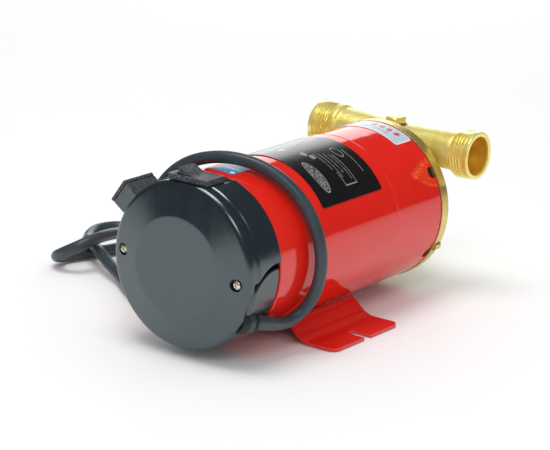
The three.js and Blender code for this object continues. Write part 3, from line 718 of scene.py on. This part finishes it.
def make_plug():
    """A moulded plug lying on the ground, its cable end to -X and its pins to +X."""
    x, y = PLUG_AT
    low = GROUND + 0.1
    outline = rounded([(x, -7, 2), (x + 7, -12, 4), (x + 28, -13, 2), (x + 30, -11.5, 0.8),
                       (x + 30, 11.5, 0.8), (x + 28, 13, 2), (x + 7, 12, 4), (x, 7, 2)], 4, closed=True)
    grip = shifted(prism("plug_grip", outline, low, low + 20), 0, y, 0)
    grooves = []
    for k in range(4):
        for side in (-1, 1):
            at = x + 9 + 3.2 * k
            bar = prism(f"groove_{k}_{side}", rectangle(at, 12.1, at + 1.3, 20), low - 1, low + 21)
            turn(bar, Matrix.Scale(side, 4, (0, 1, 0)))
            if side < 0:
                bar.data.flip_normals()
            grooves.append(shifted(bar, 0, y, 0))
    cut(grip, *grooves)
    relief = []
    for k in range(8):
        relief += [(5.3 - 0.2 * k, x + 1 - 2.6 * k), (4.4 - 0.1 * k, x - 0.7 - 2.6 * k)]
    profile = [(0, x + 3), (5.4, x + 3), *relief, (3.6, x - 20.5), (0, x - 20.5)]
    boot = shifted(lathe("plug_boot", profile, 40, "x"), 0, y, low + 10)
    finish(boot, SHEATH, bevel=0.2)
    return [finish(grip, SHEATH, stands_for=["plug_body"], bevel=0.9, segments=3), boot]


plug = make_plug()


def make_pins():
    pins = []
    x, y = PLUG_AT
    face = x + 30
    places = [(0, 5, 0), (-6.8, -3.4, -30), (6.8, -3.4, 30)]
    for k, (across, up, lean) in enumerate(places):
        outline = rectangle(-0.8, -3.1, 0.8, 3.1, 0.3, 3)
        blade = prism(f"pin_{k + 1}", outline, face - 7.6, face + 18, "x")
        turn(blade, Matrix.Rotation(math.radians(lean), 4, "X"))
        shifted(blade, 0, y + across, GROUND + 10.1 + up)
        pins.append(finish(blade, CUT_BRASS, stands_for=[f"plug_pin_{k + 1}"], bevel=0.35))
    return pins


pins = make_pins()


def make_tie():
    """A flat rubber strap closed round the coil's turns."""
    inner, outer = COIL_INNER - 3.6, COIL_OUTER + 3.6
    low, high = GROUND + 0.1, GROUND + 13.4
    strap = prism("tie", rectangle(inner - 0.9, low, outer + 0.9, high + 0.8, 2.2), -2.6, 2.6, "y")
    cut(strap, prism("tie_hole", rectangle(inner, low + 0.05, outer, high, 1.6), -3, 3, "y"))
    turn(strap, Matrix.Rotation(math.radians(TIE_ANGLE), 4, "Z"))
    shifted(strap, *COIL_CENTRE, 0)
    return finish(strap, RUBBER, stands_for=["cord_tie"], bevel=0.25)


tie = make_tie()


# ---------------------------------------------------------------- switch cover

SCREW_ANGLES = (176.7, -3.3)
SCREW_CIRCLE = 35
BOX_ANGLE = 145


def at_cover_screws(make):
    made = [shifted(make(k), SCREW_CIRCLE, 0, 0) for k in range(len(SCREW_ANGLES))]
    return [around_motor(piece, angle) for piece, angle in zip(made, SCREW_ANGLES)]


def side_box(name, half, low, high, rear, front, radius=0.0):
    block = prism(name, rectangle(low, rear, high, front, radius), -half, half)
    return around_motor(block, BOX_ANGLE)


def pocket_depth(across):
    """The pocket's section, from its rim inwards: a wall, a groove at its foot, then the floor."""
    return 3.3 * ease(across, 0, 1.9) - 1.8 * ease(across, 2.3, 4.0)


def cover_radius(radius, height, angle):
    if radius < 41 and (radius < 37.4 or radius - height < 40):
        return radius
    swing = (math.degrees(angle) - POCKET_ANGLE + 180) % 360 - 180
    distance = math.hypot(math.radians(swing) * COVER_RADIUS, height - POCKET_STATION)
    return radius - pocket_depth(POCKET_RADIUS - distance) * ease(radius, 37.2, 40.4)


def make_cover():
    """A dished cap with a shallow round pocket in its side, where the cord comes out."""
    face = rounded([(0, -6), (25.2, -5.95, 9), (36.4, -3.21), (42.6, -1.7, 3.8), (42.6, 4.3)], 16)
    side = [(42.65, 4.45), (43.15, 5.05), (COVER_RADIUS, 5.3)]
    side += [(COVER_RADIUS, 5.3 + 0.26 * k) for k in range(1, 65)] + [(43.05, 22.3)]
    inside = [(39.2, 22.3), (39.2, 1.6), (37.4, 0.4), (26.5, -2.7), (0, -3.5)]
    body = lathe("cover", [*face, *side, *inside], 480, "y", cover_radius, POCKET_ANGLE)
    cut(
        body,
        prism("land", rectangle(-13.8, -12, 13.8, 24), 41, 60),
        prism("window", rectangle(-11.1, 1.9, 11.1, 15.3, 0.8), 30, 60),
        *at_cover_screws(lambda k: rod(f"seat_{k}", 3.2, -10, -1.6, "y", 40)),
        *at_cover_screws(lambda k: rod(f"bore_{k}", 1.8, -10, 4, "y", 24)),
        side_box("box_mouth", 4.9, 36, 60, 2.2, 20.5),
    )
    finish(body, COVER, stands_for=["rear_cover"])
    body.data.set_sharp_from_angle(angle=math.radians(28))

    box = side_box("side_box", 6.7, 40.6, 50.2, 0.4, 22.3)
    cut(box, side_box("box_hollow", 4.9, 36, 60, 2.2, 20.5))
    finish(box, COVER, bevel=0.5, segments=3)
    box.data.materials.append(BLACK_GRAIN)
    for polygon in box.data.polygons:
        polygon.material_index = 0 if abs(polygon.normal.y) > 0.5 else 1

    # Partly painted shade: black rubber pieces at the gland's root and neck. Their black also stands in for
    # the shade of the hole round the gland and of the groove between the drum and the cord.
    collar = rounded([(3.6, -4.8), (3.6, -0.9, 0.3), (6.1, -0.9, 0.6), (6.1, -4.8), (3.6, -4.8)])
    finish(turn(lathe("gland_shade_collar", collar, 64), gland_matrix()), RUBBER)
    ring = rounded([(3.2, 4.0), (4.9, 4.0, 0.5), (4.6, 5.9, 0.5), (3.2, 5.9), (3.2, 4.0)])
    finish(turn(lathe("gland_shade_ring", ring, 64), gland_matrix()), RUBBER)


make_cover()


def make_cover_screws():
    """Pan heads with a straight slot, set in the cover's dark counterbores."""
    head = [(0, -4.3), (1.5, -4.2, 1.2), (2.2, -3.5, 0.4), (2.2, -2.7)]
    profile = rounded([*head, (1.4, -2.7), (1.4, 26), (0, 27)], 5)
    screws = at_cover_screws(lambda k: lathe(f"cover_screw_piece_{k}", profile, 40))
    names = ("cover_screw_left", "cover_screw_right")
    for k, (screw, name) in enumerate(zip(screws, names)):
        x, z = polar(SCREW_CIRCLE, SCREW_ANGLES[k])
        slot = prism(f"slot_{k}", rectangle(-4, -0.35, 4, 0.35), -9, -3.5, "y")
        turn(slot, Matrix.Rotation(math.radians(35 + 50 * k), 4, "Y"))
        cut(screw, shifted(slot, x, 0, z))
        shifted(screw, 0, 0.6, 0)
        finish(screw, ZINC, stands_for=[name], bevel=0.08)


make_cover_screws()


def make_switch():
    """The rocker switch: a raised rim, a stepped well and a textured V-shaped rocker."""
    rim = prism("switch_rim", rectangle(-12.3, 1.2, 12.3, 16.0, 1.4), 41.3, 44.3)
    tub = prism("switch_tub", rectangle(-10.8, 2.2, 10.8, 15.0), 29.0, 42.0)
    joined(rim, tub)
    cut(rim, prism("switch_well", rectangle(-9.2, 2.8, 9.2, 14.4, 0.6), 30, 50))
    finish(rim, BLACK_GRAIN, stands_for=["switch_frame"], bevel=0.45, segments=3)

    slope = math.tan(math.radians(14))
    crest = 4.3 + 8.4 * slope
    top = [(-8.4, crest, 0.7), (-3, 4.3 + 3 * slope, 4), (0, 4.3, 3), (3, 4.3 + 3 * slope, 4)]
    under = [(8.4, crest, 0.7), (7.4, -1, 0.5), (4, -4.5, 1), (-4, -4.5, 1), (-7.4, -1, 0.5)]
    rocker = prism("rocker_cap", rounded([*top, *under], 4, closed=True), 3.1, 14.1, "y")
    turn(rocker, Matrix.Rotation(math.radians(14), 4, "Y"))
    shifted(rocker, 0, 0, 40)
    finish(rocker, BLACK_GRAIN, body="rocker", stands_for=["switch_rocker"],
           bevel=0.4, segments=3)


make_switch()


def make_side_box_lid():
    """The side box's textured lid, with a raised field on it."""
    lid = prism("box_lid", rectangle(50.4, 0.4, 52.2, 22.3), -6.7, 6.7)
    field = prism("box_field", rectangle(52.0, 2.0, 52.5, 20.7), -5.2, 5.2)
    joined(lid, field)
    around_motor(lid, BOX_ANGLE)
    finish(lid, BLACK_GRAIN, stands_for=["side_box_lid"], bevel=0.35)


make_side_box_lid()


# ---------------------------------------------------------------- motor

def make_barrel():
    """The painted shell, rolled in at both ends, with a shallow bead round it and dark notches."""
    outer = rounded([
        (41.3, 22.6), (42.2, 22.6, 0.4), (42.5, 23.2, 0.4), (42.5, 124.6), (42.72, 125.3, 0.6),
        (42.5, 126.0), (42.5, 165.6, 0.4), (42.3, 166.2), (41.3, 166.2),
    ], 4)
    barrel = lathe("barrel", [*outer, outer[0]], 192)
    notches = [around_motor(shifted(rod(f"notch_{k}", 3.3, 38, 46, "x", 32), 0, 164.0, 0), angle)
               for k, angle in enumerate((31, 149, -149, -32))]
    cut(barrel, *notches)
    finish(barrel, RED, stands_for=["motor_barrel"], bevel=0.12, angle=40)
    lip = lathe("gasket_lip", [(40.4, 158), (41.2, 158), (41.2, 166.0), (40.4, 166.0), (40.4, 158)], 96)
    finish(lip, RUBBER)


make_barrel()


def wrapped_plate(name, from_angle, to_angle, rear, front, thickness, corner):
    """A thin plate with rounded corners, bent round the barrel."""
    inner = 42.55
    steps = int((to_angle - from_angle) / 1.5)
    arcs = (to_angle - from_angle) * math.pi / 180 * inner
    columns = []
    for i in range(steps + 1):
        share = i / steps
        edge = min(share, 1 - share) * arcs
        inset = corner - math.sqrt(max(corner ** 2 - max(corner - edge, 0) ** 2, 0))
        columns.append((from_angle + (to_angle - from_angle) * share, rear + inset, front - inset))
    bm = bmesh.new()
    grid = []
    for angle, near, far in columns:
        x, z = polar(1, angle)
        low, high = inner, inner + thickness
        section = ((low, near), (high, near), (high, far), (low, far))
        grid.append([bm.verts.new((r * x, y, r * z)) for r, y in section])
    for first, second in zip(grid, grid[1:]):
        for k in range(4):
            n = (k + 1) % 4
            bm.faces.new([first[k], first[n], second[n], second[k]])
    bm.faces.new(grid[0][::-1])
    bm.faces.new(grid[-1])
    return new_piece(name, bm)


def make_stickers():
    foil = wrapped_plate("nameplate_foil", 31.5, 112, 65, 117, 0.35, 0.8)
    finish(foil, nameplate_look(), stands_for=["nameplate"], bevel=0.08)
    label = wrapped_plate("front_label", 59, 113, 150.5, 165.3, 0.25, 1.2)
    finish(label, front_sticker_look(), stands_for=["front_sticker"], bevel=0.06)
    label = wrapped_plate("switch_label", 79, 103, 26.5, 41, 0.25, 0.8)
    finish(label, switch_sticker_look(), stands_for=["switch_sticker"], bevel=0.06)


make_stickers()


def make_foot():
    """A bent sheet: a saddle under the barrel, two sloping legs and two feet with open slots."""
    flat = GROUND + 0.8
    saddle = [polar(43.6, -90 + 2 * k) for k in range(17)]
    bends = [(25.6, flat + 7.3, 8), (31.8, flat + 1.7, 12), (37.0, flat, 10)]
    leg = rounded([saddle[-1], *bends, (54, flat)], 16)
    right = [*saddle, *leg[1:]]
    line = [(-x, z) for x, z in reversed(right[1:])] + right
    sides = ([], [])
    for i, (x, z) in enumerate(line):
        before, after = line[max(i - 1, 0)], line[min(i + 1, len(line) - 1)]
        along = Vector((after[0] - before[0], after[1] - before[1])).normalized()
        for side, half in zip(sides, (0.8, -0.8)):
            side.append((x - along.y * half, z + along.x * half))
    sheet = prism("foot", sides[0] + sides[1][::-1], 55, 112.5, "y")
    plan = prism("foot_plan", rectangle(-54, 55, 54, 112.5, 4.5, 8), -60, 0)
    combine(sheet, [plan], "INTERSECT")
    middle = 83.75
    slots = []
    for side in (-1, 1):
        near, far = sorted((side * 45.1, side * 60))
        slots.append(shifted(rod(f"slot_end_{side}", 2.9, -60, -40, "z", 40), side * 45.1, middle, 0))
        way = rectangle(near, middle - 2.9, far, middle + 2.9)
        slots.append(prism(f"slot_way_{side}", way, -60, -40))
    cut(sheet, *slots)
    finish(sheet, RED, stands_for=["foot_bracket"], bevel=0.28, angle=40)


make_foot()


# ---------------------------------------------------------------- pump head

PORT_Y, PORT_Z = 185.8, 29.4
PITCH = 1.814
VENT_Y = 183
HEAD_SCREW_CIRCLE = 37.5
HEAD_SCREW_ANGLES = (8, 172, 240, 300)


def thread_radius(flat):
    """A G3/4 thread with a rounded crest and root, run out at both ends, and its flats."""
    def radius(r, x, angle):
        if not 40.4 < x < 48.6 or r < 11.5:
            return r
        phase = (x / PITCH - angle / (2 * math.pi)) % 1
        wave = 0.5 - 0.5 * math.cos(2 * math.pi * phase)
        fade = min((x - 40.4) / 1.2, (48.6 - x) / 0.9, 1.0)
        r = 12.02 + (13.22 - 12.02) * wave * max(fade, 0)
        upright = abs(math.sin(angle))
        return min(r, flat / upright) if flat and upright > 0.5 else r
    return radius


def make_port(name, side, flat, collar):
    rows = [(12.02, x / 100) for x in range(4040, 4860, 12)]
    outer = [(7.2, 36.0), (9.8, 36.0), (9.9, 38.6)]
    if collar:
        outer += [(13.3, 38.7), (13.3, 39.3), (12.6, 39.6), (11.6, 39.8)]
    else:
        outer += [(11.2, 39.4), (11.9, 40.0)]
    rim = [(12.02, 48.65), (12.9, 48.9, 0.3), (12.9, 51.5, 0.5), (10.4, 51.5, 0.5), (10.4, 50.4)]
    profile = [*outer, *rows, *rounded(rim, 4), (10.4, 43.6), (7.4, 39.5), (7.2, 36.0)]
    port = lathe(name, profile, 128, "x", thread_radius(flat))
    if side < 0:
        turn(port, Matrix.Rotation(math.pi, 4, "Z"))
    finish(shifted(port, 0, PORT_Y, PORT_Z), CUT_BRASS)
    port.data.set_sharp_from_angle(angle=math.radians(50))
    # The bore's faces take the darker bore brass: painted shade and reflection inside the hole.
    port.data.materials.append(BORE_SHADE_BRASS)
    middle = TO_ROW @ Vector((0, PORT_Y, PORT_Z))
    for polygon in port.data.polygons:
        away = polygon.center - middle
        bore = math.hypot(away.y, away.z) < 0.0105 and abs(away.x) < 0.0502
        polygon.material_index = 1 if bore else 0


def neck(name, side, root, throat, collar):
    """A cast arm from the middle of the head out to its thread."""
    end = 34.8 if collar else 39.6
    points = [(0, 0), (throat, 0), (root, end, 2)]
    if collar:
        points += [(13.3, 35.4, 0.6), (13.3, 39.2, 0.6), (11.4, 39.6)]
    points += [(0, points[-1][1])]
    arm = lathe(name, rounded(points, 4), 64, "x")
    if side < 0:
        turn(arm, Matrix.Rotation(math.pi, 4, "Z"))
    return shifted(arm, 0, PORT_Y, PORT_Z)


def make_head():
    """One casting: the volute, two arms and the vent boss, with soft cast corners."""
    casting = lathe("head_casting", rounded([(0, 171), (33.5, 171), (33.5, 185, 2.5), (27.5, 185.3, 1.5),
                                             (27.5, 189, 2), (0, 189)], 5), 96)
    joined(
        casting,
        neck("arm_right", 1, 10.3, 9.4, False),
        neck("arm_left", -1, 12, 9.6, True),
        shifted(rod("vent_boss", 6.6, PORT_Z - 6, 38.6, "z", 48), 0, VENT_Y, 0),
    )
    remesh = casting.modifiers.new("remesh", "REMESH")
    remesh.mode = "VOXEL"
    remesh.voxel_size = 0.55
    soften = casting.modifiers.new("soften", "SMOOTH")
    soften.factor = 0.6
    soften.iterations = 6
    apply_modifiers(casting)
    bores = []
    for side in (-1, 1):
        bore = lathe(f"throat_{side}", [(0, 8), (6.6, 8), (7.3, 45), (0, 45)], 48, "x")
        if side < 0:
            turn(bore, Matrix.Rotation(math.pi, 4, "Z"))
        bores.append(shifted(bore, 0, PORT_Y, PORT_Z))
    bores.append(shifted(rod("vent_bore", 3.3, 24, 60, "z", 32), 0, VENT_Y, 0))
    bores.append(shifted(rod("vent_face", 6.9, 38.6, 60, "z", 48), 0, VENT_Y, 0))
    bores.append(rod("chamber", 29, 160, 176.4, "y", 64))
    cut(casting, *bores)
    finish(casting, CAST_BRASS, stands_for=["pump_head"])
    make_port("port_right_thread", 1, 11.96, False)
    make_port("port_left_thread", -1, 0, True)

    section = rectangle(29.2, 166.6, 42.9, 172.6)
    flange = lathe("head_flange", [*section, section[0]], 192)
    lugs = [around_motor(shifted(rod(f"lug_{k}", 2.6, 166.9, 171.6, "y", 40), 42.0, 0, 0), angle)
            for k, angle in enumerate((-27, 153))]
    joined(flange, *lugs)
    holes = [around_motor(shifted(rod(f"hole_{k}", 1.9, 160, 180, "y", 24), HEAD_SCREW_CIRCLE, 0, 0), angle)
             for k, angle in enumerate(HEAD_SCREW_ANGLES)]
    cut(flange, *holes)
    finish(flange, FLANGE_BRASS, bevel=0.45, segments=3)


make_head()


def make_vent():
    section = rounded([(3.3, 38.9), (5.8, 38.9, 0.3), (5.8, 39.7, 0.3), (3.3, 39.7), (3.3, 38.9)])
    washer = lathe("vent_seal_ring", section, 48, "z")
    finish(shifted(washer, 0, VENT_Y, 0), FIBRE, body="vent_ring", stands_for=["vent_washer"])
    head = prism("vent_head", [polar(6.2, 60 * k) for k in range(6)], 40.0, 43.2)
    dome = rounded([(0, 39), (7.2, 39), (7.2, 41.4), (4.5, 43.2, 1), (0, 43.2)])
    crown = lathe("vent_crown", dome, 64, "z")
    combine(head, [crown], "INTERSECT")
    joined(head, rod("vent_shank", 3, 30, 41, "z", 32))
    shifted(head, 0, VENT_Y, 0)
    finish(head, CUT_BRASS, body="vent_screw", stands_for=["vent_plug"], bevel=0.3)


make_vent()


def make_head_screws():
    seat = 172.9
    shank = [(0, 156), (1.5, 156.3), (1.6, 157), (1.6, seat)]
    cap = [(3.2, seat, 0.3), (3.2, seat + 2.1, 0.9), (2.3, seat + 2.8, 0.5), (0, seat + 2.8)]
    profile = rounded([*shank, *cap])
    for k, angle in enumerate(HEAD_SCREW_ANGLES):
        screw = lathe(f"head_screw_piece_{k + 1}", profile, 40)
        socket = prism(f"socket_{k}", [polar(1.7, 60 * j) for j in range(6)], seat + 1.2, seat + 4, "y")
        cut(screw, socket)
        around_motor(shifted(screw, HEAD_SCREW_CIRCLE, 0, 0), angle)
        finish(screw, ZINC, stands_for=[f"head_screw_{k + 1}"], bevel=0.1)


make_head_screws()


# ---------------------------------------------------------------- inner pieces keep their CAD shape

SLOT_LOOKS = {
    "shield_aluminium": ALUMINIUM, "shaft_steel": STEEL, "lamination_steel": LAMINATION,
    "winding_copper": COPPER, "brass": CUT_BRASS, "black_rubber": RUBBER, "seal_ceramic": CERAMIC,
    "terminal_plastic": CREAM, "capacitor_case": WHITE,
}
for part in frame["record"]["subparts"]:
    node = nodes[part["node"]]
    look = SLOT_LOOKS.get(part["material_slot"])
    if look and not node.hide_render:
        node.data.materials.clear()
        node.data.materials.append(look)


# ---------------------------------------------------------------- floor and light

def make_floor():
    """A round pale table, wide enough that its edge is never seen."""
    bm = bmesh.new()
    bmesh.ops.create_circle(bm, cap_ends=True, radius=6, segments=128)
    floor = new_piece("floor", bm)
    s = Shade("floor_look")
    s.set(Base_Color=s.blend(s.noise(0.01, 3), (0.86, 0.86, 0.865), (0.88, 0.88, 0.88)))
    s.set(Roughness=0.9)
    s.set(Specular_IOR_Level=0.1)
    floor.data.materials.append(s.material)
    floor.location = (0, 0, -0.0004)


def softbox(name, place, aim, width, height, brightness):
    """A soft panel of light that faces a point."""
    data = bpy.data.lights.new(name, "AREA")
    data.shape = "RECTANGLE"
    data.size = width
    data.size_y = height
    data.energy = brightness * math.pi * width * height
    light = bpy.data.objects.new(name, data)
    light.location = place
    light.rotation_mode = "QUATERNION"
    light.rotation_quaternion = (Vector(aim) - Vector(place)).to_track_quat("-Z", "Y")
    light.visible_camera = False
    bpy.context.scene.collection.objects.link(light)


def make_light():
    """Three soft panels, and a pale surround that mirrors see much dimmer than the rest does."""
    softbox("top_light", (-0.1, -0.25, 1.5), (0, 0, 0), 0.7, 0.7, 6.5)
    softbox("key_light", (0.9, -1.1, 1.3), (0, 0, 0.05), 0.55, 0.55, 5.5)
    softbox("back_left_panel", (-0.85, 1.30, 0.42), (0, 0, 0.09), 0.9, 0.8, 2.2)
    world = bpy.data.worlds.new("studio")
    bpy.context.scene.world = world
    world.use_nodes = True
    tree = world.node_tree
    path = tree.nodes.new("ShaderNodeLightPath")
    mix = tree.nodes.new("ShaderNodeMixShader")
    surround = tree.nodes["Background"]
    surround.inputs["Color"].default_value = (0.97, 0.985, 1.0, 1)
    surround.inputs["Strength"].default_value = 0.68
    mirrored = tree.nodes.new("ShaderNodeBackground")
    mirrored.inputs["Color"].default_value = (0.95, 0.97, 1.0, 1)
    mirrored.inputs["Strength"].default_value = 0.07
    tree.links.new(path.outputs["Is Glossy Ray"], mix.inputs["Fac"])
    tree.links.new(surround.outputs[0], mix.inputs[1])
    tree.links.new(mirrored.outputs[0], mix.inputs[2])
    tree.links.new(mix.outputs[0], tree.nodes["World Output"].inputs["Surface"])


make_floor()
make_light()
bpy.context.scene.view_settings.view_transform = "Standard"
